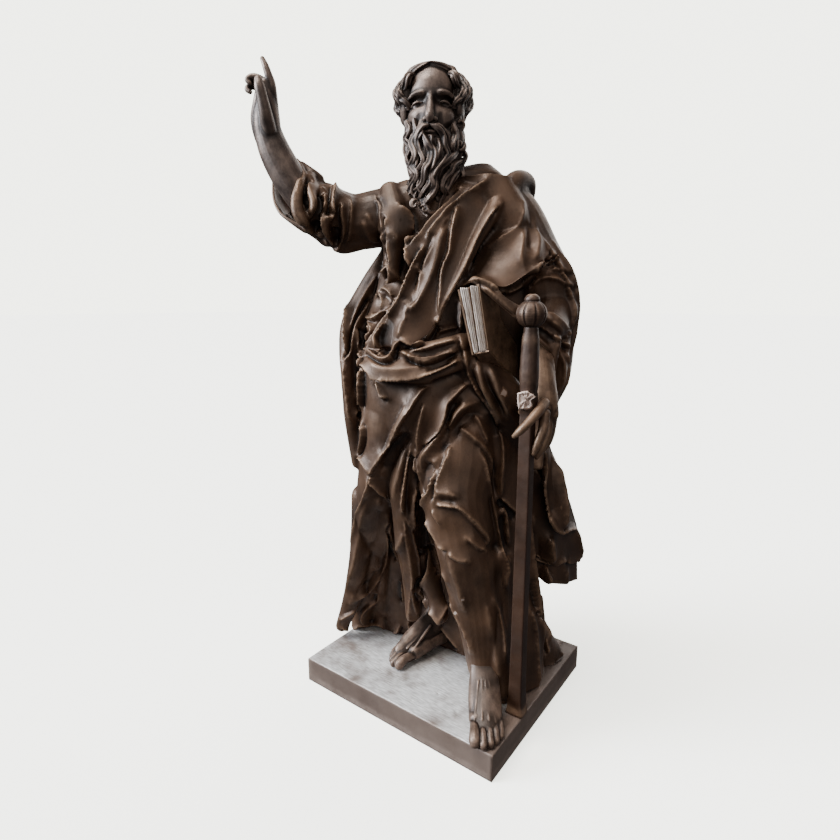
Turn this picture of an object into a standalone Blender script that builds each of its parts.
"""A life-size saint statue: a draped, bearded figure with a raised right arm, a book and a sword, on a
rectangular plinth. Metres, +Z up, the figure's front towards -Y, the origin under the plinth's middle.

The figure is modelled as clay: lofts, tubes and draped sheets are merged into one skin by a voxel
remesh, then folds are raised and cut along drawn lines. Forms are drawn in centimetres on an upright
drawing plane through the origin, as one point of view sees them: u runs to the right on that plane,
z is the height and n is how far a point stands out of the plane towards the viewer."""

import math

import bmesh
import bpy
import numpy as np
from mathutils import Vector
from mathutils.bvhtree import BVHTree

# ---------------------------------------------------------------- driving dimensions, metres
PLINTH = (0.64, 0.55, 0.075)
PLINTH_BEVEL = 0.003
GAP = 0.0003                      # between pieces that touch
VOXEL = 0.005                     # size of the clay's remesh cells
FIGURE_TRIANGLES = 8600
SWORD_FOOT = (0.297, -0.105, PLINTH[2] + GAP)
SWORD_TOP = (0.2905, -0.0953, 1.152)
POMMEL_RIBS = 8
SWORD_SIDES = 32
CM = 0.01
FOLD_JUMP = 0.035                 # a drawn line that leaps further than this has left one form for another

# The drawing plane stands through the origin and faces this eye.
EYE = np.array((0.860, -1.298, 1.135))
EYE_DISTANCE = math.hypot(EYE[0], EYE[1])
TO_EYE = np.array((EYE[0], EYE[1], 0.0)) / EYE_DISTANCE
ALONG = np.array((-TO_EYE[1], TO_EYE[0], 0.0))
UP = np.array((0.0, 0.0, 1.0))
EYE_BEHIND = np.array((-EYE[0], -EYE[1], EYE[2]))
EYE_LEFT = np.array((1.56, 0.0, 1.0))
EYE_RIGHT = -EYE_LEFT * (1, 1, -1)
DEPTHWAYS = np.array((0.0, 1.0, 0.0))


# ---------------------------------------------------------------- points and curves
def seen(u, z, n=0.0):
    """The point that covers (u, z) on the drawing plane and stands n in front of it, all in cm."""
    on_plane = ALONG * u * CM + UP * z * CM
    return EYE + (on_plane - EYE) * (1 - n * CM / EYE_DISTANCE)


def spline(points, count):
    """count points along a Catmull-Rom curve through the given points, of any width."""
    p = np.asarray(points, float)
    if len(p) == 2:
        p = np.array([p[0], (p[0] + p[1]) / 2, p[1]])
    p = np.vstack([2 * p[0] - p[1], p, 2 * p[-1] - p[-2]])
    t = np.linspace(0, len(p) - 3 - 1e-9, count)
    i = t.astype(int)
    f = (t - i)[:, None]
    a, b, c, d = p[i], p[i + 1], p[i + 2], p[i + 3]
    return 0.5 * (2 * b + (c - a) * f + (2 * a - 5 * b + 4 * c - d) * f**2
                  + (3 * b - a - 3 * c + d) * f**3)


# ---------------------------------------------------------------- closed clay shapes
def closed_grid(rings):
    """A closed mesh of stacked rings, (rows, sides, 3), with a fan at each end."""
    rows, sides = rings.shape[:2]
    first, last = rings[0].mean(0), rings[-1].mean(0)
    points = np.vstack([rings.reshape(-1, 3), first, last])
    faces = []
    for r in range(rows - 1):
        for s in range(sides):
            t = (s + 1) % sides
            faces.append((r * sides + s, r * sides + t, (r + 1) * sides + t, (r + 1) * sides + s))
    end = rows * sides
    for s in range(sides):
        t = (s + 1) % sides
        faces.append((end, t, s))
        faces.append((end + 1, (rows - 1) * sides + s, (rows - 1) * sides + t))
    return points, faces


def column(rows, sides=48):
    """A standing form. Each row is (z, left u, right u, n of the centre, half depth), as seen."""
    rows = spline(rows, 8 * len(rows))
    turn = np.linspace(0, 2 * math.pi, sides, endpoint=False)
    rings = []
    for z, left, right, n, depth in rows:
        centre = seen((left + right) / 2, z, n)
        half = (right - left) / 2 * CM * (1 - n * CM / EYE_DISTANCE)
        rings.append(centre + np.outer(np.cos(turn), ALONG) * half
                     - np.outer(np.sin(turn), TO_EYE) * depth * CM)
    return closed_grid(np.array(rings))


def pillar(rows, sides=48):
    """A standing form in the statue's own axes. Each row is (z, x, y, half width, half depth), in cm."""
    rows = spline(rows, 8 * len(rows)) * CM
    turn = np.linspace(0, 2 * math.pi, sides, endpoint=False)
    rings = [np.stack([x + np.cos(turn) * a, y + np.sin(turn) * b, 0 * turn + z], 1)
             for z, x, y, a, b in rows]
    return closed_grid(np.array(rings))


def frames(path):
    """Unit tangents and two unit normals along a path, carried without twist."""
    tangent = np.gradient(path, axis=0)
    tangent /= np.linalg.norm(tangent, axis=1)[:, None] + 1e-12
    side = np.empty_like(path)
    start = TO_EYE if abs(tangent[0] @ TO_EYE) < 0.9 else UP
    for i, t in enumerate(tangent):
        start = start - t * (start @ t)
        start = start / np.linalg.norm(start)
        side[i] = start
    return tangent, side, np.cross(tangent, side)


def limb(rows, sides=24, flat=1.0):
    """A round form along a path. Each row is (u, z, n, radius), as seen, in cm. Its ends are domes.
    flat shrinks it towards the eye's direction, as for a strap."""
    rows = spline(rows, 10 * len(rows))
    path = np.array([seen(u, z, n) for u, z, n, _ in rows])
    return tube(path, rows[:, 3] * CM, sides, flat)


def tube(path, radii, sides=24, flat=1.0):
    tangent, front, across = frames(path)
    turn = np.linspace(0, 2 * math.pi, sides, endpoint=False)
    dome = np.sin(np.linspace(0.15, math.pi / 2, 5))
    rings = []

    def ring(i, radius, shift):
        centre = path[i] + tangent[i] * shift
        rings.append(centre + radius * (flat * np.outer(np.cos(turn), front[i])
                                        + np.outer(np.sin(turn), across[i])))
    for s in dome[:-1]:
        ring(0, radii[0] * s, -radii[0] * math.sqrt(1 - s * s))
    for i in range(len(path)):
        ring(i, radii[i], 0.0)
    for s in dome[:-1][::-1]:
        ring(len(path) - 1, radii[-1] * s, radii[-1] * math.sqrt(1 - s * s))
    return closed_grid(np.array(rings))


def sheet(grid, thick, across=30, down=40):
    """A hanging cloth. grid holds rows of (u, z, n), as seen, in cm; thick is in cm."""
    rows = np.array([spline(row, across) for row in grid])
    lines = np.array([spline(rows[:, i], down) for i in range(across)]).transpose(1, 0, 2)
    p = np.array([[seen(*q) for q in row] for row in lines])
    normal = np.cross(np.gradient(p, axis=1), np.gradient(p, axis=0))
    normal /= np.linalg.norm(normal, axis=2)[..., None] + 1e-12
    rim = np.ones((down, across))
    rim[[0, -1]] = rim[:, [0, -1]] = 0.35
    offset = normal * (thick * CM / 2 * rim)[..., None]
    front, back = (p + offset), (p - offset)
    points = np.vstack([front.reshape(-1, 3), back.reshape(-1, 3)])
    faces, half = [], down * across
    for r in range(down - 1):
        for c in range(across - 1):
            a, b = r * across + c, r * across + c + 1
            faces.append((a, b, b + across, a + across))
            faces.append((half + a, half + a + across, half + b + across, half + b))
    edge = ([c for c in range(across)] + [r * across + across - 1 for r in range(1, down)]
            + [(down - 1) * across + c for c in range(across - 2, -1, -1)]
            + [r * across for r in range(down - 2, 0, -1)])
    for a, b in zip(edge, edge[1:] + edge[:1]):
        faces.append((a, half + a, half + b, b))
    return points, faces


def ball(centre, radii, turn=None):
    """An ellipsoid with its centre in metres and its radii in cm, turned by a 3x3 matrix."""
    bm = bmesh.new()
    bmesh.ops.create_icosphere(bm, subdivisions=4, radius=1.0)
    points = np.array([v.co for v in bm.verts]) * np.array(radii) * CM
    faces = [[v.index for v in f.verts] for f in bm.faces]
    bm.free()
    if turn is not None:
        points = points @ np.asarray(turn).T
    return points + np.asarray(centre), faces


# ---------------------------------------------------------------- the masses under the folds
def robe_masses():
    """The torso, legs and skirt, as plain padded forms."""
    return [
        column([(149, -8, 10, -3, 5), (145.5, -12, 15, -3, 8), (141, -17, 20, -2, 10.5),
                (134, -18, 22, -1, 12.5), (126, -18, 20, 0, 13), (117, -20, 19, 0, 13), (108, -23, 19, 1, 13.5),
                (100, -25, 20, 2, 15), (92, -26, 21, 2, 16), (84, -25, 22, 2, 16), (74, -23, 22, 1, 14)]),
        # the back, from the collar down to the plinth
        pillar([(7, -1, 13, 27, 12.5), (20, -1, 13, 25, 12), (40, -1, 12, 23, 12), (60, 0, 9.5, 21.5, 12.5),
                (80, 0, 6.5, 20.5, 13), (100, 0.5, 4.5, 20, 13), (120, 1.5, 3.5, 19.5, 12.5),
                (135, 3, 3, 17.5, 11.5), (145, 4, 2.5, 12, 9)]),
        # the right side of the tunic, seen at the left
        column([(32, -25, -19, -12, 3), (42, -27.5, -16, -9, 6.5), (50, -27.2, -13, -6.5, 9),
                (60, -27, -11, -4, 11),
                (70, -26, -8, -1, 12), (84, -25, -4, 1, 13), (100, -22, -2, 2, 10)]),
        pillar([(7, -20, 8, 11.5, 10), (20, -20, 7, 11, 10), (35, -18.5, 5, 10, 10), (50, -16.5, 4, 10, 11),
                (65, -14, 4, 9, 12), (80, -12, 4, 8, 12), (96, -10, 4, 6, 9)]),
        limb([(-24.8, 58, -3, 4), (-25.4, 44, -3.5, 4), (-27, 32, -4.5, 3.8), (-29.6, 22, -6, 3.4),
              (-32.2, 15.4, -7, 2.6)]),
        limb([(-22, 58, -5, 5), (-22.6, 44, -6.5, 4.6), (-23.6, 32, -9, 4.6), (-25.5, 20, -13.5, 4.2),
              (-26, 13, -15, 4.0)]),
        limb([(-18.5, 58, -5, 4.6), (-18.4, 44, -7, 3.4), (-19.2, 32, -10, 3.6), (-19.8, 20, -14.5, 4.0),
              (-18.5, 14, -16, 4.2)]),
        # left leg under the cloth
        limb([(5, 90, 2, 12), (3.5, 78, 6, 12.5), (2.8, 66, 10, 11.2), (2.6, 57, 13, 9.6),
              (5, 46, 14.5, 8.8), (8, 32, 15.5, 8.2), (10.5, 16, 17, 6.4), (11.5, 3, 18.5, 4.6)]),
        # cloth that hangs between the legs
        limb([(-11, 84, 9, 5), (-12, 66, 8, 5), (-12, 48, 6, 4.2), (-10.5, 32, 3, 3.4), (-10, 20, 0, 2.8)]),
        limb([(-5.5, 40, 4, 3.0), (-4, 30, 4, 3.4), (-1.5, 20, 6, 3.0)]),
        # cloth behind and beside the left leg
        limb([(14, 84, 6, 8), (15, 66, 8, 7.5), (15.5, 48, 9, 6.5), (16.5, 28, 11, 6), (18, 8, 14, 5.5),
              (20, -4, 17, 4.5)]),
        pillar([(7.5, 21.5, 3, 9, 13), (22, 21, 3, 7.5, 11), (40, 19, 3, 6.5, 10), (60, 16, 2, 7, 10),
                (80, 12, 1, 9, 10)]),
        # the heap of cloth and ground at the left rear corner of the plinth
        pillar([(7, 21, 17.5, 10.3, 9.3), (10, 20.5, 17, 9.6, 8.8), (14, 19.5, 15.8, 8, 7.4),
                (19, 18, 14, 6, 6), (25, 16, 12, 4, 5)]),
    ]


def mantle_masses():
    """The cloak: over the left shoulder and arm, round the hips, and its hanging end."""
    return [
        # shoulder, upper arm and elbow
        limb([(14, 141, -1, 7.5), (18.5, 136, 0, 8), (22.5, 127, 0, 9.2), (25.5, 116, 0, 9.8),
              (27, 106, 1, 8), (28.4, 98, 2.5, 6.2), (28.8, 91.5, 4, 4.6), (28.4, 86.5, 5, 3)]),
        limb([(26, 111, 2, 7), (25.8, 107.5, 8, 6), (25.6, 105, 13, 5)]),
        # the thick roll from the shoulder to the waist
        limb([(20, 141.5, -5, 3.2), (20.2, 145.8, -1, 3.4), (16.5, 144.5, 5, 3.2), (11.5, 136.5, 10, 2.6),
              (6.5, 127.5, 13.5, 2.2), (1.5, 117, 15.5, 2.0), (-2, 108, 17, 1.8), (-5, 103, 17.5, 1.6)]),
        # the loop from the right armpit to the hip
        limb([(-17, 127, -5, 2), (-22, 117.5, -4, 4.2), (-26, 108, -2, 5.2), (-27.5, 100, 0, 4.6),
              (-27.5, 92, 1, 3.4), (-27.5, 80, 1, 3.0), (-26, 68, 1, 2.6)]),
        # the roll across the belly
        limb([(-22.5, 97.5, 11, 3.2), (-18, 95.6, 15.5, 4.2), (-10, 95.8, 18, 4.4), (-2, 97.6, 18, 4.2),
              (5, 100, 16.5, 3.6), (11, 102, 13, 3)], flat=0.6),
        # the hip under the book
        limb([(4, 98, 12, 5.5), (11, 92, 12, 6.8), (17, 84, 10, 6.8), (19.5, 74, 8, 5)]),
        # the hanging end
        sheet([[(23, 78, 13), (26, 77.5, 10), (28, 76, 6)],
               [(23.5, 66, 10), (29, 66, 7), (32.5, 65, 1)],
               [(24, 52, 7), (31.5, 52, 5), (38.2, 53, -4)],
               [(24.5, 41, 5), (33, 39.5, 4), (41.2, 40, -7)],
               [(25.5, 34, 4), (33, 31.5, 3), (39.5, 32, -7)]], 2.2),
    ]


def sleeve_and_arm():
    """The raised right arm: a full sleeve pushed up to the elbow, the bare forearm and the hand."""
    sleeve = limb([(-10, 136.5, -1, 9.2), (-17, 135.6, 0, 8.4), (-24, 134.8, 2, 7.4), (-31, 136.3, 4, 7.6),
                   (-36.5, 139, 5, 7.9), (-41, 141.8, 6, 7.0), (-43.6, 145.2, 6, 5.6)])
    cuff = limb([(-40.6, 150.8, 4, 1.5), (-43.5, 147.5, 10, 1.7), (-46.8, 143, 8.5, 1.6),
                 (-46.6, 142.5, 3, 1.6), (-43.5, 147, 0.5, 1.6), (-40.8, 150.5, 3, 1.5)])
    forearm = limb([(-40.5, 142, 5, 4.4), (-43.6, 147.5, 6, 4.1), (-46.2, 152.5, 6.5, 3.5),
                    (-48, 157, 7, 2.9), (-48.8, 161, 7, 2.6)])
    folds = [limb([(-20, 130.5, 2, 2.4), (-26, 129.4, 3, 3.4), (-30.5, 131.5, 3, 2.8)]),
             limb([(-32.5, 133.5, 4, 3.2), (-37, 134.6, 5, 3.0), (-41.5, 137, 5, 2.6)]),
             limb([(-42, 139.5, 6, 3.2), (-45, 139.8, 6, 2.8), (-45.6, 143.5, 6, 2.0)]),
             limb([(-30.5, 141, 2, 2.6), (-34, 143.2, 2, 2.8), (-37.5, 146.6, 3, 2.4), (-40, 149.2, 4, 1.8)])]
    return [sleeve, cuff, forearm] + folds + right_hand()


def right_hand():
    """The index finger points up, the thumb lies along it and the other fingers curl into the palm."""
    made = []
    for k in range(4):
        made.append(limb([(-48.8, 161, 8.4 - 1.6 * k, 2.1), (-48.2, 165, 9.6 - 2 * k, 2.0),
                          (-47.2, 168, 10 - 2 * k, 1.35)]))
    for k in range(3):
        made.append(limb([(-47.1, 168 - 0.5 * k, 8 - 1.9 * k, 1.1),
                          (-48.6, 170.6 - 0.7 * k, 8 - 1.9 * k, 1.05),
                          (-50.8, 170.9 - 0.9 * k, 8 - 1.8 * k, 0.98),
                          (-52.2, 169.6 - 0.9 * k, 8 - 1.7 * k, 0.9),
                          (-51.6, 167.8 - 0.8 * k, 8 - 1.6 * k, 0.82)]))
    index = limb([(-47.1, 167.6, 10, 1.15), (-47.3, 170.6, 10, 0.95), (-48, 173, 9.6, 0.82),
                  (-48.7, 175.3, 9.2, 0.62)])
    thumb = limb([(-49.2, 161.5, 10, 1.9), (-48.9, 165, 11.6, 1.55), (-48.9, 168, 12, 1.15),
                  (-49.4, 170.5, 11.6, 0.9)])
    return made + [index, thumb]


def left_hand():
    """The hand hangs over the blade, its first finger and thumb across it and the others beside it."""
    made = [limb([(27, 104, 11, 4.6), (28.3, 97, 15, 4.0), (28.8, 91.5, 18, 3.1)])]
    for k in range(4):
        made.append(limb([(28.6, 92, 19 - 0.9 * k, 2.3), (28.2 + 0.3 * k, 86, 22.5 - 1.6 * k, 2.0),
                          (26.6 + 0.8 * k, 81.5, 24.6 - 2 * k, 1.5)]))
    fingers = [
        [(26.8, 84.5, 25.5, 1.4), (24.2, 82, 28.8, 1.15), (21.5, 78.9, 29.6, 1.0), (19.1, 76.6, 28.6, 0.75)],
        [(27.2, 81.5, 23.4, 1.3), (26.6, 77, 25.2, 1.15), (25.2, 73.2, 26, 1.0), (23.8, 70.6, 26, 0.75)],
        [(28.3, 81, 21, 1.3), (28.0, 76.5, 22, 1.1), (26.8, 72.6, 23, 0.95), (25.6, 70.2, 23.4, 0.72)],
        [(29.2, 81, 18.6, 1.1), (29, 77, 19, 0.95), (28, 73.6, 20, 0.85), (27, 71.8, 20.6, 0.68)],
        [(27.4, 87, 19, 1.6), (23.6, 84.4, 18, 1.3), (20, 82.5, 19, 1.1)],
    ]
    return made + [limb(rows) for rows in fingers]


def foot(heel, forward, side, ankle_height=15.0):
    """A bare foot. heel is its middle in cm, forward a unit vector, side points to the little toe."""
    heel, forward, side = np.array((*heel, 0.0)), np.array((*forward, 0.0)), np.array((*side, 0.0))
    ground = PLINTH[2] / CM

    def at(f, s, z):
        return (heel + forward * f + side * s + UP * (z + ground)) * CM

    def line(rows, sides=20):
        rows = spline(rows, 8 * len(rows))
        return tube(np.array([at(f, s, z) for f, s, z, _ in rows]), rows[:, 3] * CM, sides)

    made = [line([(4.6, 0.2, ankle_height + 6, 3.6), (4.4, 0, ankle_height - 3, 3.4), (3.4, 0, 6, 3.4),
                  (2.8, 0, 3, 3.0)]),
            line([(3, -0.6, 3, 2.9), (9, -1.4, 3.4, 2.6), (16, -2.1, 2.6, 2.3)]),
            line([(3, 1.0, 2.6, 2.8), (9, 1.8, 2.4, 2.4), (15, 2.6, 1.9, 1.9)]),
            line([(4.5, 0, 10.5, 3.4), (8.5, -0.6, 7.2, 3.0), (13, -0.8, 4.6, 2.4), (17, -0.6, 2.9, 1.9)])]
    toes = ((-3.2, 25.2, 1.45, 17.5), (-1.05, 25.0, 0.98, 18.4), (0.75, 24.0, 0.92, 17.8),
            (2.4, 22.6, 0.86, 16.6), (3.9, 20.8, 0.84, 15.0))
    for s, tip, r, root in toes:
        made.append(line([(root - 4, s * 0.75, 3.6, r), (root, s * 0.92, 2.8, r),
                          (root + (tip - root) * 0.55, s, 2.3, r * 0.95), (tip - r, s, r + 0.1, r)], 14))
    return made


def book():
    """The boards and the block of pages, slipped under the forearm with its fore edge to the front."""
    forward, out = np.array((-0.78, 0.63)), np.array((0.63, 0.78))    # along u and n
    made = []
    for low, high, inset in ((-3.0, -2.5, 0.0), (-2.5, 2.5, 0.5), (2.5, 3.0, 0.0)):
        rows = []
        for h, lean in ((99.8, 9.7), (118.6, 6.3)):
            h += inset if h < 105 else -inset
            for w in (0.3 + inset, 15.0):
                for t in (low, high):
                    u, n = np.array((lean, 16.6)) - forward * w + out * t
                    rows.append(seen(u, h, n))
        rows = np.array(rows)
        faces = [(0, 1, 3, 2), (4, 6, 7, 5), (0, 4, 5, 1), (2, 3, 7, 6), (0, 2, 6, 4), (1, 5, 7, 3)]
        made.append((rows, faces))
    return made


# ---------------------------------------------------------------- head, hair and beard
HEAD = seen(-4.6, 160.7, 1.0)
HEAD_TURN = math.radians(31)       # towards the left shoulder from straight ahead
TO_RIGHT = (math.cos(HEAD_TURN), math.sin(HEAD_TURN), 0)       # the viewer's right
OUT_OF_FACE = (math.sin(HEAD_TURN), -math.cos(HEAD_TURN), 0)
HEAD_AXES = np.array((TO_RIGHT, OUT_OF_FACE, (0, 0, 1)))


def on_head(x, y, z):
    """A point in head coordinates, cm: x to the viewer's right, y out of the face, z up from eye level."""
    return HEAD + np.array((x, y, z)) * CM @ HEAD_AXES


def strand(rows, sides=10, flat=1.0):
    """A lock of hair or a facial form through head points. Each row is (x, y, z, radius)."""
    rows = spline(rows, 7 * len(rows))
    path = np.array([on_head(*row[:3]) for row in rows])
    return tube(path, rows[:, 3] * CM, sides, flat)


def skull():
    turn = HEAD_AXES.T
    brow = [(0.8, 7.7, 1.9, 0.75), (3.0, 7.4, 2.2, 0.85), (5.3, 5.4, 1.4, 0.7)]
    cheek = [(2.2, 6.2, -2.6, 1.3), (4.6, 5.0, -2.2, 1.5), (6.0, 2.6, -1.2, 1.4)]
    bridge = [(0, 7.6, 2.0, 0.75), (0, 8.6, 0, 0.8), (0, 10.0, -2.6, 0.95), (0, 10.2, -3.6, 1.05)]
    nostrils = [(-1.4, 8.6, -3.9, 0.7), (0, 9.3, -4.0, 0.7), (1.4, 8.6, -3.9, 0.7)]
    lower_lip = [(-1.9, 7.3, -7.7, 0.5), (0, 8.1, -7.6, 0.62), (1.9, 7.3, -7.7, 0.5)]
    neck = [(0, -3, -6, 5.6), (0, -3.5, -13, 5.4), (0, -3, -20, 6.4)]
    made = [ball(on_head(0, -1.8, 2.6), (7.2, 9.0, 7.9), turn),
            ball(on_head(0, 1.0, -3.6), (5.9, 6.8, 8.0), turn),
            ball(on_head(0, 3.6, -8.6), (3.8, 3.6, 3.4), turn),
            strand(neck, 20), strand(bridge), strand(nostrils), strand(lower_lip)]
    for s in (-1, 1):
        made += [strand([(s * x, y, z, r) for x, y, z, r in rows]) for rows in (brow, cheek)]
        made.append(ball(on_head(s * 3.1, 6.0, 0.2), (1.45, 1.3, 1.25), turn))                 # eye
    return made


def wave(start, end, swing, radius, beats=1.5, phase=0.0, out=0.8):
    """A wavy lock from start to end in head points, swinging sideways, thin at its tip."""
    rows, start, end = [], np.array(start, float), np.array(end, float)
    for k in range(9):
        t = k / 8
        p = start + (end - start) * t
        p[0] += swing * math.sin(2 * math.pi * beats * t + phase) * min(1, 3 * t)
        p[1] += out * math.sin(math.pi * t)
        rows.append((*p, radius * (1 - 0.55 * t**2)))
    return strand(rows)


def beard():
    """Long waved locks in two layers over a core, with the moustache over them."""
    made = [strand([(0, 5.0, -9, 4.0), (0.2, 6.2, -15, 4.2), (0.4, 7.6, -20, 3.4), (0.3, 8.6, -24, 2.0)], 20)]
    for k in range(9):
        a = (k - 4) / 4
        made.append(wave((5.6 * a, 6.2 - 3.4 * a * a, -7.6 + 2.5 * a * a),
                         (5.2 * a, 8.2 - 2.2 * a * a, -21 + 3 * abs(a)), 0.9, 1.15, 1.6, 1.3 * k, 1.4))
    for k in range(7):
        a = (k - 3) / 3
        made.append(wave((3.6 * a, 8.2 - 1.6 * a * a, -10.5),
                         (3.9 * a + 0.4, 9.8 - 1.6 * a * a, -25 + 2.2 * abs(a)),
                         1.0, 1.05, 1.4, 2.1 * k + 0.5, 1.0))
    for s in (-1, 1):
        made += [strand([(s * 0.5, 9.2, -5.2, 0.6), (s * 2.2, 8.6, -6.0, 0.85), (s * 3.3, 7.6, -8.6, 0.8),
                         (s * 3.0, 8.0, -12, 0.55)]),
                 wave((s * 6.3, 1.5, -3), (s * 5.6, 3.5, -14), 0.7, 1.5, 1.2, s, 0.6)]
    return made


def hair():
    """Waved locks swept back from a high open brow, full over the ears and down to the collar."""
    made = []
    for s in (-1, 1):
        for k in range(5):
            made.append(strand([(s * (5.0 + 0.35 * k), 2.6 - 1.6 * k, 7.6 + 0.1 * k, 0.9),
                                (s * (6.8 + 0.35 * k), 1.6 - 1.5 * k, 5.8 - 0.5 * k, 1.3),
                                (s * (8.0 + 0.3 * k), 1.4 - 1.5 * k, 3.0 - 0.6 * k, 1.5),
                                (s * (8.4 + 0.2 * k), 0.6 - 1.2 * k, -0.4 - 0.8 * k, 1.45),
                                (s * (7.3 - 0.1 * k), -0.2 - 1.1 * k, -3.2 - 1.0 * k, 1.0)]))
        made.append(strand([(s * 6.2, 3.9, 4.4, 0.7), (s * 7.4, 3.1, 2.2, 1.0), (s * 8.1, 2.2, -0.4, 1.2),
                            (s * 7.3, 2.0, -3.0, 1.1), (s * 6.4, 2.6, -4.6, 0.8)]))
    for k in range(7):
        a = (k - 3) / 3
        made.append(strand([(3.6 * a, 3.6 - 2.0 * abs(a), 9.6 - 0.9 * abs(a), 0.8),
                            (5.0 * a, 0.4 - abs(a), 10.2 - 1.6 * a * a, 1.15),
                            (6.8 * a, -4.6, 9.2 - 2.4 * a * a, 1.3), (7.4 * a, -9.0, 4.8 - 1.2 * a * a, 1.35),
                            (6.8 * a, -10.2, -0.6, 1.35), (6.0 * a, -9.2, -6, 1.2),
                            (5.0 * a, -8.8, -10, 0.9)]))
    return made


def head():
    return skull() + beard() + hair()


# ---------------------------------------------------------------- the folds
# Each fold is (height, width on the low side, width on the high side, fading share, drawn points), in cm.
# Walking along the points, the low side is on the right hand. A negative height is a groove.
def mantle_folds():
    """The cloak over the chest and arm, the gathered waist and the loop at the right side."""
    return [
        (1, 0.35, 4, 0.18, [(8, 142.3), (2, 140), (-1.6, 138.5), (-5.2, 134), (-8.3, 130.6), (-11.7, 128)]),
        (1.7, 0.45, 1.5, 0.18, [(0, 138), (-4, 135.5), (-6.7, 130), (-9, 124), (-11.2, 119.5),
            (-14.5, 113.7), (-18, 109), (-21, 104.5), (-23.6, 101)]),
        (1.4, 1, 1.2, 0.18, [(-1, 133), (-2, 128), (-4, 121), (-7.5, 114), (-12, 108), (-16, 104.5),
            (-19, 102)]),
        (1.1, 0.5, 1.5, 0.18, [(2, 139.5), (0.8, 136), (-0.2, 129.5), (-1.8, 123.5), (-2.5, 120),
            (-2.9, 114.5), (-2.7, 110)]),
        (1, 1.2, 0.6, 0.18, [(15, 146), (12.2, 141.3), (9.2, 136.8), (6.2, 130.8), (3.8, 125.7), (1, 122),
            (0, 118), (-1.3, 112), (-2.9, 107.8), (-5.6, 104.5), (-9, 102)]),
        (-2.6, 0.8, 2.2, 0.18, [(18, 143.5), (13.3, 138.6), (9.8, 133.7), (7, 128.7), (5, 123.6), (3, 119),
            (1.5, 114)]),
        (0.7, 2.5, 0.35, 0.18, [(-13, 139.5), (-10.8, 138), (-9.5, 135), (-9.8, 132), (-11.6, 129)]),
        (1.6, 0.45, 4.5, 0.18, [(3, 118.5), (7.2, 119), (10, 118.5), (12.5, 116.8), (15.7, 116),
            (19.4, 117), (22.6, 119.5), (25.3, 122.6), (29, 126)]),
        (-4.5, 2.6, 2.6, 0.3, [(11, 113), (14, 110.5), (17, 107.5), (19, 104)]),
        (-2.4, 1.5, 1.2, 0.3, [(20.5, 115.5), (24, 117.8), (28, 118.5)]),
        (1.1, 0.6, 1.4, 0.18, [(22.6, 118.5), (25.8, 119.7), (29.7, 119), (33.4, 117)]),
        (1.3, 0.45, 2.2, 0.18, [(21, 107.5), (25, 106.3), (29.7, 103.6), (33, 101), (34, 99.7)]),
        (-2.2, 1.6, 0.8, 0.3, [(24.5, 104.2), (29, 101.2), (32.5, 97.5), (31.5, 93)]),
        (1.3, 1.6, 0.5, 0.18, [(-17.4, 123.3), (-21.5, 117), (-25.4, 110), (-27.8, 103.5), (-28.8, 98)]),
        (-1.8, 0.7, 1, 0.18, [(-18, 121), (-21.8, 114.5), (-25, 108), (-26.8, 102.5), (-27.5, 97)]),
        (1.4, 0.6, 0.9, 0.18, [(-20, 115), (-23.2, 111.5), (-24.5, 106.7), (-24.8, 100.8), (-24.6, 95),
            (-24.7, 83)]),
        (-3.2, 1, 1.1, 0.25, [(-19.2, 106), (-18.2, 101.5), (-16, 99.3)]),
        (1.2, 0.5, 2, 0.18, [(-24, 99), (-20.2, 97.4), (-16.8, 97.4), (-15.1, 99.5), (-13.4, 102.5),
            (-9.5, 101.7), (-6.7, 103), (-2.9, 106.5)]),
        (1, 0.5, 0.9, 0.18, [(-13.3, 100.7), (-6.7, 99), (0, 101.3), (5, 103.5)]),
        (-1, 0.5, 0.5, 0.18, [(-13.5, 99.6), (-6.7, 97.9), (0, 100.1), (5, 102.2)]),
        (1, 0.5, 0.9, 0.18, [(-14.5, 98.2), (-6.7, 96.3), (-1, 98.5), (5, 100.4)]),
        (-1.2, 0.5, 0.6, 0.18, [(-15, 97.2), (-6.7, 95.3), (-1, 97.3), (5, 99.2)]),
        (1.3, 0.5, 2.2, 0.18, [(-24.6, 98), (-22.3, 94.6), (-20.1, 92.4), (-13.5, 91.5), (-6.8, 92.4),
            (-1.1, 94.6), (4.5, 97.4)]),
        (-2, 1.8, 0.5, 0.3, [(-23.5, 92.5), (-20.1, 90.4), (-13.5, 89.7), (-6.8, 90.6), (-1.1, 92.8)]),
        (1.1, 1, 0.6, 0.18, [(3.7, 100), (5.2, 94), (8.5, 88), (12.5, 83)]),
    ]


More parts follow.
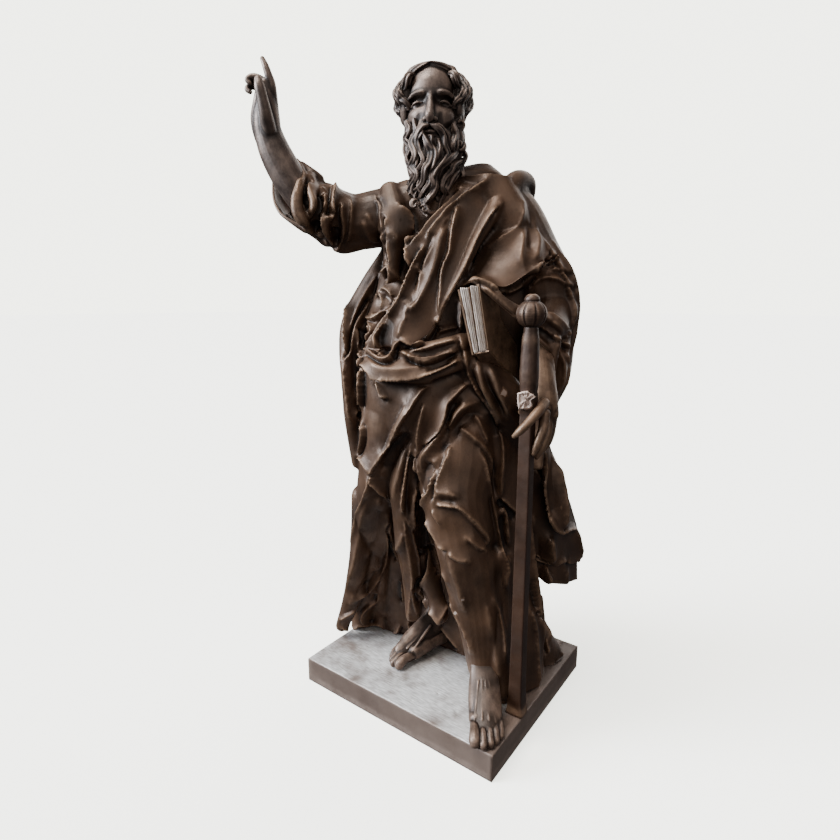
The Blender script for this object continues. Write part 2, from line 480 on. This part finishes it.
def skirt_folds():
    """The cloak over the thighs, the tunic below it and the hanging end."""
    return [
        (1.8, 0.7, 1.4, 0.18, [(-4.5, 91.5), (-7, 86.5), (-10, 83.3), (-13.5, 79.2), (-17.7, 73.2),
            (-19.4, 69.6), (-21.2, 65), (-22.4, 62.3)]),
        (-2.4, 1.4, 0.8, 0.3, [(-14, 86), (-17, 80), (-19.5, 74), (-21.5, 68)]),
        (1.2, 0.6, 0.9, 0.18, [(-25.7, 83), (-25.2, 76), (-24, 74.8), (-24.7, 68)]),
        (1.2, 0.35, 2, 0.12, [(-26.5, 70.5), (-25.8, 69.6), (-22.5, 63), (-19.5, 59.3), (-19.6, 57),
            (-16, 56.8)]),
        (1.3, 1.3, 1.1, 0.18, [(-11.8, 73), (-14, 65), (-16, 58.3)]),
        (-2, 0.9, 0.8, 0.3, [(-13.8, 74), (-13.3, 66), (-13.2, 58)]),
        (1.5, 0.9, 0.8, 0.18, [(-7.8, 85.5), (-9, 81), (-9, 75.8), (-8.4, 69.8), (-9.3, 63), (-9.6, 57),
            (-9.7, 47.5)]),
        (1.3, 0.8, 1.4, 0.18, [(0, 84.6), (-3.3, 78.6), (-5.6, 74.5), (-8, 71.5)]),
        (1.4, 1.4, 0.6, 0.18, [(12, 86.5), (7.6, 85.3), (2.4, 83.5), (-1, 79.3), (-5, 73.3), (-8, 66.7),
            (-10.2, 62)]),
        (-1.5, 0.6, 1.8, 0.25, [(9, 84.5), (4, 82), (0.8, 77.5), (-2.5, 71.5), (-5.2, 65), (-6.6, 60)]),
        (-3, 1, 0.7, 0.3, [(-6.6, 70), (-7.2, 64), (-6.2, 58)]),
        (1.5, 0.4, 1.2, 0.18, [(-4.2, 62), (-5.5, 60), (-7.2, 55.8), (-4.8, 45.8), (-3, 38.2), (-0.5, 31.6),
            (3.2, 23.8), (6.5, 13.3), (7.7, 6.7)]),
        (-2.2, 1, 1, 0.3, [(12.2, 44.6), (14.5, 43.2), (16.5, 42)]),
        (1.1, 0.7, 0.8, 0.18, [(9.7, 71.8), (10.7, 63.5), (13.2, 53.7), (15.7, 45), (18.2, 35.7),
            (19.6, 29.2)]),
        (-1.4, 0.7, 0.7, 0.18, [(11.6, 68), (12.6, 60), (14.6, 52), (17.2, 43)]),
        (1.2, 0.6, 0.9, 0.18, [(14.2, 76), (15.1, 70.8), (14.9, 65), (15.3, 58.3), (17.6, 55.4),
            (19.6, 53.5)]),
        (-2.6, 1.2, 0.8, 0.3, [(17, 54), (17, 48), (17.5, 42)]),
        (1.1, 1.2, 0.5, 0.18, [(-22.7, 62.3), (-24.3, 58.2), (-26.8, 50.5), (-27.8, 45.2)]),
        (1.3, 0.8, 0.8, 0.18, [(-19.8, 59), (-19.7, 47.5), (-20.4, 39), (-21.7, 33), (-24.8, 27.5),
            (-28.6, 24.3)]),
        (1.2, 0.8, 0.6, 0.18, [(-17.9, 44), (-18.5, 34.5), (-21.2, 28), (-24.3, 24.7), (-29.3, 21.7),
            (-33.7, 20.5)]),
        (1.2, 0.6, 0.8, 0.18, [(-33.7, 20.5), (-30, 19.7), (-33, 16), (-34.7, 14)]),
        (1.1, 0.5, 0.9, 0.18, [(-12.5, 53), (-12.3, 50), (-14.3, 42.4), (-15, 39.8)]),
        (1.1, 0.6, 0.7, 0.18, [(-12.5, 53), (-11.4, 44.3), (-10.6, 34.6), (-10.9, 28), (-11.2, 19.5)]),
        (1, 0.8, 0.8, 0.18, [(14, 36), (15, 24), (17.5, 10)]),
        (1.3, 0.5, 2, 0.18, [(25.9, 72.7), (27.4, 68), (28.4, 60.7), (29.4, 54.6), (31, 50.2), (33.2, 47.8),
            (36.2, 48.3), (38.7, 49.3)]),
        (-1.6, 1.8, 0.5, 0.3, [(25.5, 66), (27, 57), (28.3, 50), (31, 46.5)]),
        (1, 0.35, 1.8, 0.05, [(25.4, 39.5), (27.8, 38.6), (31.4, 37.7), (36.2, 38), (40.2, 39.2),
            (43.4, 38.2)]),
        (-0.9, 1, 0.4, 0.1, [(25.4, 37.8), (31.4, 36.2), (36.2, 36.5), (41, 36.6)]),
    ]


def sleeve_folds():
    """The sleeve pushed up the raised arm."""
    return [
        (1.1, 0.9, 0.8, 0.18, [(-30.5, 142), (-30, 137), (-30.5, 132), (-28.5, 127.5)]),
        (-1.2, 0.7, 0.7, 0.18, [(-32.3, 143), (-32.6, 137), (-33, 132.5)]),
        (1.3, 0.8, 0.8, 0.18, [(-33.2, 144.5), (-35, 140), (-35.2, 136), (-33.5, 131.5)]),
        (-1.3, 0.7, 0.7, 0.18, [(-35.5, 146.5), (-37.3, 142), (-37.4, 137.5)]),
        (1.2, 0.8, 0.8, 0.18, [(-36.2, 148), (-39, 143.5), (-39.8, 139), (-38.5, 134.5)]),
        (-1.2, 0.6, 0.6, 0.18, [(-39, 148.5), (-41.3, 144), (-41.8, 140)]),
    ]


def back_folds():
    """The back, seen from behind: pulls from the left shoulder to the right hip, then hanging folds."""
    return [
        (1.6, 1.2, 2.4, 0.15, [(20, 143), (14, 132), (4, 118), (-6, 106), (-14, 99), (-20, 96)]),
        (1.4, 1, 2, 0.15, [(18, 132), (12, 120), (4, 108), (-5, 98), (-13, 91), (-20, 88)]),
        (1.2, 1, 2.2, 0.15, [(8, 146), (4, 136), (-4, 124), (-11, 114), (-18, 107)]),
        (1.4, 1.2, 2.2, 0.15, [(20, 120), (14, 108), (7, 97), (-1, 87), (-9, 79), (-16, 75)]),
        (-1.2, 1.4, 1.4, 0.15, [(17, 138), (10, 125), (1, 112), (-8, 101), (-16, 95)]),
        (1.6, 1.6, 1.2, 0.15, [(20, 104), (19, 90), (15, 70), (13, 50), (12, 30), (14, 12)]),
        (1.8, 1.2, 1.8, 0.15, [(8, 92), (7, 75), (4, 55), (3, 35), (2, 12)]),
        (-1.6, 1.4, 1.4, 0.15, [(13, 86), (11, 68), (8.5, 48), (7.5, 28), (8, 10)]),
        (1.7, 1.8, 1.2, 0.15, [(-2, 84), (-3, 66), (-6, 46), (-7, 28), (-8, 12)]),
        (-1.6, 1.4, 1.4, 0.15, [(3, 82), (1.5, 64), (-1.5, 44), (-2.5, 26), (-3, 10)]),
        (1.6, 1.2, 1.6, 0.15, [(-10, 78), (-11, 62), (-14, 44), (-16, 28), (-17, 12)]),
        (-1.5, 1.4, 1.2, 0.15, [(-6.5, 78), (-7.5, 60), (-10.5, 42), (-12, 26), (-12.5, 10)]),
        (1.4, 1, 1.4, 0.15, [(-16, 74), (-18, 58), (-20, 42), (-22, 28), (-23.5, 14)]),
        (1.5, 1, 1.6, 0.15, [(24, 130), (27, 118), (28, 106), (27, 96)]),
    ]


def left_side_folds():
    """The cloak over the left arm and the skirt below it. The points are (y, z)."""
    return [
        (1.2, 0.9, 1.2, 0.2, [(6, 140), (9, 130), (12, 118), (13, 106), (11, 96)]),
        (1.5, 1.0, 1.4, 0.2, [(12, 138), (17, 126), (19, 114), (17, 102), (13, 92)]),
        (1.1, 0.9, 1.0, 0.2, [(2, 134), (4, 124), (8, 112), (8, 100), (6, 92)]),
        (-1.3, 0.9, 0.9, 0.2, [(9, 138), (13, 125), (15.5, 112), (14, 99), (11, 90)]),
        (-1.1, 0.9, 0.9, 0.2, [(3.5, 136), (6.5, 124), (10, 112), (10, 101)]),
        (1.2, 1.0, 1.2, 0.2, [(1, 74), (3, 56), (5, 36), (7, 12)]),
        (1.3, 1.0, 1.2, 0.2, [(12, 66), (13, 48), (14, 30), (17, 12)]),
        (-1.3, 1.0, 1.0, 0.2, [(7, 70), (8, 50), (10, 30), (12, 12)]),
    ]


def right_side_folds():
    """Pulls from the back to the right hip, then hanging folds. The points are (y, z)."""
    return [
        (1.3, 0.9, 1.6, 0.2, [(14, 122), (10, 109), (4, 99), (-3, 93)]),
        (1.3, 0.9, 1.6, 0.2, [(15, 108), (12, 96), (6, 87), (-1, 82)]),
        (1.2, 0.9, 1.6, 0.2, [(16, 95), (13, 84), (8, 76), (1, 71)]),
        (1.3, 1.0, 1.1, 0.15, [(16, 82), (17, 60), (18, 38), (18, 10)]),
        (-1.4, 1.0, 1.0, 0.15, [(13, 78), (13.5, 58), (14, 38), (14, 10)]),
        (1.3, 1.0, 1.1, 0.15, [(9.5, 70), (10, 50), (10, 30), (10, 10)]),
        (-1.4, 1.0, 1.0, 0.15, [(6.5, 66), (6, 48), (5, 30), (5.5, 10)]),
        (1.2, 1.0, 1.0, 0.15, [(3.5, 62), (1.5, 46), (0, 30), (0, 12)]),
    ]


# ---------------------------------------------------------------- merging and carving
def object_of(name, shapes):
    """One object of several closed shapes, each a pair of points and faces."""
    points, faces, base = [], [], 0
    for p, f in shapes:
        points.append(np.asarray(p))
        faces += [[i + base for i in face] for face in f]
        base += len(p)
    mesh = bpy.data.meshes.new(name)
    mesh.from_pydata(np.vstack(points).tolist(), [], faces)
    bm = bmesh.new()
    bm.from_mesh(mesh)
    bmesh.ops.recalc_face_normals(bm, faces=bm.faces)
    bm.to_mesh(mesh)
    bm.free()
    made = bpy.data.objects.new(name, mesh)
    bpy.context.scene.collection.objects.link(made)
    return made


def baked(obj):
    """The object's mesh with its modifiers applied, and no modifiers left."""
    bpy.context.view_layer.update()
    graph = bpy.context.evaluated_depsgraph_get()
    mesh = bpy.data.meshes.new_from_object(obj.evaluated_get(graph))
    obj.modifiers.clear()
    old, obj.data = obj.data, mesh
    bpy.data.meshes.remove(old)
    return mesh


def merged(obj, voxel, smoothing):
    """The clay as one even skin."""
    remesh = obj.modifiers.new("merge", "REMESH")
    remesh.mode = "VOXEL"
    remesh.voxel_size = voxel
    smooth = obj.modifiers.new("smooth", "SMOOTH")
    smooth.factor = 0.5
    smooth.iterations = smoothing
    return baked(obj)


def largest_body(mesh):
    """Deletes every island of faces but the largest, such as the skin of a sealed hollow."""
    bm = bmesh.new()
    bm.from_mesh(mesh)
    bm.verts.ensure_lookup_table()
    island, best, seen_verts = [], [], set()
    for start in bm.verts:
        if start in seen_verts:
            continue
        island, stack = [], [start]
        seen_verts.add(start)
        while stack:
            v = stack.pop()
            island.append(v)
            for e in v.link_edges:
                w = e.other_vert(v)
                if w not in seen_verts:
                    seen_verts.add(w)
                    stack.append(w)
        if len(island) > len(best):
            best = island
    keep = set(best)
    bmesh.ops.delete(bm, geom=[v for v in bm.verts if v not in keep], context="VERTS")
    bm.to_mesh(mesh)
    bm.free()


def cut_flat(mesh, height):
    """Cuts the mesh off below height and closes it flat."""
    bm = bmesh.new()
    bm.from_mesh(mesh)
    bmesh.ops.bisect_plane(bm, geom=bm.verts[:] + bm.edges[:] + bm.faces[:], plane_co=(0, 0, height),
                           plane_no=(0, 0, 1), clear_inner=True)
    bmesh.ops.holes_fill(bm, edges=[e for e in bm.edges if e.is_boundary], sides=0)
    bmesh.ops.recalc_face_normals(bm, faces=bm.faces)
    bm.to_mesh(mesh)
    bm.free()


# ---------------------------------------------------------------- folds
def fold_path(tree, eye, along, drawn):
    """Where a drawn line lands on the skin: stretches of points and normals, split at every jump in depth."""
    line = spline(drawn, 12 * len(drawn))
    stretches, current = [], []
    for u, z in line:
        target = along * u * CM + UP * z * CM
        direction = Vector(target - eye).normalized()
        hit, normal, _, _ = tree.ray_cast(Vector(eye), direction)
        if hit is None:
            continue
        if current and (hit - current[-1][0]).length > FOLD_JUMP:
            stretches.append(current)
            current = []
        current.append((hit, normal))
    stretches.append(current)
    return [s for s in stretches if len(s) > 3]


def fold_height(points, normals, stretch, height, low, high, taper):
    """How far one stretch of a fold lifts each of the given points.

    The crest is sharp and falls off over width low on the right hand of the line's direction and
    over width high on its left, and it fades out over taper of its length at each end."""
    path = np.array([s[0] for s in stretch])
    out = np.array([s[1] for s in stretch])
    run = np.r_[0, np.cumsum(np.linalg.norm(np.diff(path, axis=0), axis=1))]
    tangent = np.gradient(path, axis=0)
    tangent /= np.linalg.norm(tangent, axis=1)[:, None] + 1e-12
    side = np.cross(out, tangent)
    gap = np.linalg.norm(points[:, None] - path[None], axis=2)
    near = gap.argmin(1)
    away = points - path[near]
    along = (away * tangent[near]).sum(1)
    away = away - tangent[near] * along[:, None]
    past = np.where((near == 0) | (near == len(path) - 1), np.abs(along), 0.0)
    distance = np.sqrt((away**2).sum(1) + past**2)
    width = np.where((away * side[near]).sum(1) > 0, low, high)
    ends = np.clip(np.minimum(run[near], run[-1] - run[near]) / (taper * run[-1] + 1e-9), 0, 1)
    ends = ends * ends * (3 - 2 * ends)
    facing = np.clip(((normals * out[near]).sum(1) + 0.1) / 0.5, 0, 1)
    r = 0.35 * np.minimum(width, 0.01)
    fall = np.exp(-(np.sqrt(distance**2 + r * r) - r) / width)
    return height * ends * facing * fall


def carve(mesh, folds, eye, along=ALONG, soften=6):
    """Raises (or with a negative height cuts) each fold along the skin's own smoothed normals.

    The folds are drawn as the eye sees them on the upright plane through the origin that runs along."""
    tree = BVHTree.FromPolygons([v.co[:] for v in mesh.vertices], [p.vertices[:] for p in mesh.polygons])
    points = np.empty(len(mesh.vertices) * 3, np.float32)
    mesh.vertices.foreach_get("co", points)
    points = points.reshape(-1, 3).astype(float)
    normals = smooth_normals(mesh, points, soften)
    lift = np.zeros(len(points))
    for height, low, high, taper, drawn in folds:
        for stretch in fold_path(tree, eye, along, drawn):
            path = np.array([s[0] for s in stretch])
            reach = 4.5 * max(low, high) * CM
            box = np.all((points > path.min(0) - reach) & (points < path.max(0) + reach), axis=1)
            index = np.flatnonzero(box)
            lift[index] += fold_height(points[index], normals[index], stretch, height * CM,
                                       low * CM, high * CM, taper)
    points += normals * lift[:, None]
    mesh.vertices.foreach_set("co", points.astype(np.float32).ravel())
    mesh.update()


def smooth_normals(mesh, points, rounds):
    """Vertex normals averaged with their neighbours' a number of times."""
    normals = np.empty(len(mesh.vertices) * 3, np.float32)
    mesh.vertices.foreach_get("normal", normals)
    normals = normals.reshape(-1, 3).astype(float)
    edges = np.empty(len(mesh.edges) * 2, np.int32)
    mesh.edges.foreach_get("vertices", edges)
    a, b = edges[::2], edges[1::2]
    for _ in range(rounds):
        total = normals.copy()
        for axis in range(3):
            total[:, axis] += np.bincount(a, normals[b, axis], len(points))
            total[:, axis] += np.bincount(b, normals[a, axis], len(points))
        normals = total / (np.linalg.norm(total, axis=1)[:, None] + 1e-12)
    return normals


# ---------------------------------------------------------------- the objects
def figure(cutter):
    shapes = (robe_masses() + mantle_masses() + sleeve_and_arm() + left_hand() + book() + head()
              + foot((-2.6, 8.2), (-0.27, -0.963), (-0.963, 0.27))
              + foot((12.6, -8.4), (0.76, -0.65), (0.65, 0.76)))
    made = object_of("saint_figure", shapes)
    mesh = merged(made, VOXEL, 3)
    carve(mesh, mantle_folds() + skirt_folds() + sleeve_folds(), EYE)
    carve(mesh, back_folds(), EYE_BEHIND)
    carve(mesh, left_side_folds(), EYE_LEFT, DEPTHWAYS)
    carve(mesh, right_side_folds(), EYE_RIGHT, DEPTHWAYS)
    mesh = merged(made, VOXEL, 1)
    reduce = made.modifiers.new("reduce", "DECIMATE")
    reduce.ratio = FIGURE_TRIANGLES / (2 * len(mesh.polygons))
    room = made.modifiers.new("room for the sword", "BOOLEAN")
    room.operation = "DIFFERENCE"
    room.object = cutter
    mesh = baked(made)
    cut_flat(mesh, PLINTH[2] + GAP)
    largest_body(mesh)
    return made


def sword_sections():
    """Cross-sections up the sword, each (height, half width, half depth, squareness, ribs) in cm.

    Squareness 2 is round and 8 nearly square; ribs is the depth of the pommel's grooves."""
    return [(0.0, 1.9, 1.5, 8, 0), (3.0, 1.8, 1.45, 8, 0), (14.0, 1.65, 1.35, 8, 0), (80.6, 1.5, 1.25, 8, 0),
            (80.9, 2.2, 1.9, 8, 0), (85.1, 2.2, 1.9, 8, 0), (85.4, 1.95, 1.85, 3, 0),
            (90.0, 2.05, 1.95, 3, 0),
            (99.3, 2.1, 2.0, 3, 0), (99.8, 2.8, 2.7, 2, 0.1), (101.1, 3.6, 3.5, 2, 0.28),
            (102.9, 3.9, 3.9, 2, 0.32), (104.6, 3.4, 3.4, 2, 0.28), (105.5, 1.9, 1.9, 2, 0.1),
            (105.8, 1.0, 1.0, 2, 0), (106.4, 1.45, 1.35, 2, 0), (107.3, 1.25, 1.2, 2, 0),
            (107.9, 0.5, 0.5, 2, 0)]


def sword_solid(name, sides, grow=0.0):
    """The sword as one loft from its foot to its finial, made larger all round by grow for a cutter."""
    foot, top = np.array(SWORD_FOOT), np.array(SWORD_TOP)
    axis = (top - foot) / np.linalg.norm(top - foot)
    across = np.cross((0.0, 1.0, 0.0), axis)
    across /= np.linalg.norm(across)
    depth = np.cross(axis, across)
    turn = np.linspace(0, 2 * math.pi, sides, endpoint=False)
    rings = []
    for z, a, b, power, ribs in sword_sections():
        shrink = 1 - ribs * np.abs(np.cos(POMMEL_RIBS / 2 * turn)) ** 8 / max(a, 1)
        x = np.sign(np.cos(turn)) * np.abs(np.cos(turn)) ** (2 / power) * shrink
        y = np.sign(np.sin(turn)) * np.abs(np.sin(turn)) ** (2 / power) * shrink
        rings.append(foot + axis * z * CM + np.outer(x, across) * (a * CM + grow)
                     + np.outer(y, depth) * (b * CM + grow))
    rings[0] -= axis * grow
    rings[-1] += axis * grow
    return object_of(name, [closed_grid(np.array(rings))])


def patina(name, colour, roughness):
    """A dark bronze finish."""
    material = bpy.data.materials.new(name)
    material.use_nodes = True
    surface = material.node_tree.nodes["Principled BSDF"]
    surface.inputs["Base Color"].default_value = (*colour, 1.0)
    surface.inputs["Metallic"].default_value = 0.6
    surface.inputs["Roughness"].default_value = roughness
    return material


def plinth():
    bm = bmesh.new()
    bmesh.ops.create_cube(bm, size=1.0)
    for v in bm.verts:
        v.co = Vector((v.co.x * PLINTH[0], v.co.y * PLINTH[1], (v.co.z + 0.5) * PLINTH[2]))
    mesh = bpy.data.meshes.new("plinth")
    bm.to_mesh(mesh)
    bm.free()
    made = bpy.data.objects.new("plinth", mesh)
    bpy.context.scene.collection.objects.link(made)
    bevel = made.modifiers.new("worn edges", "BEVEL")
    bevel.width = PLINTH_BEVEL
    bevel.segments = 1
    return made


def main():
    for obj in list(bpy.data.objects):
        bpy.data.objects.remove(obj)
    sword = sword_solid("sword", SWORD_SIDES)
    sword.data.materials.append(patina("sword_bronze", (0.085, 0.055, 0.038), 0.4))
    room = sword_solid("sword_room", SWORD_SIDES, GAP)
    saint = figure(room)
    saint.data.materials.append(patina("figure_bronze", (0.075, 0.048, 0.034), 0.38))
    bpy.data.objects.remove(room)
    plinth().data.materials.append(patina("plinth_bronze", (0.11, 0.085, 0.07), 0.6))


main()
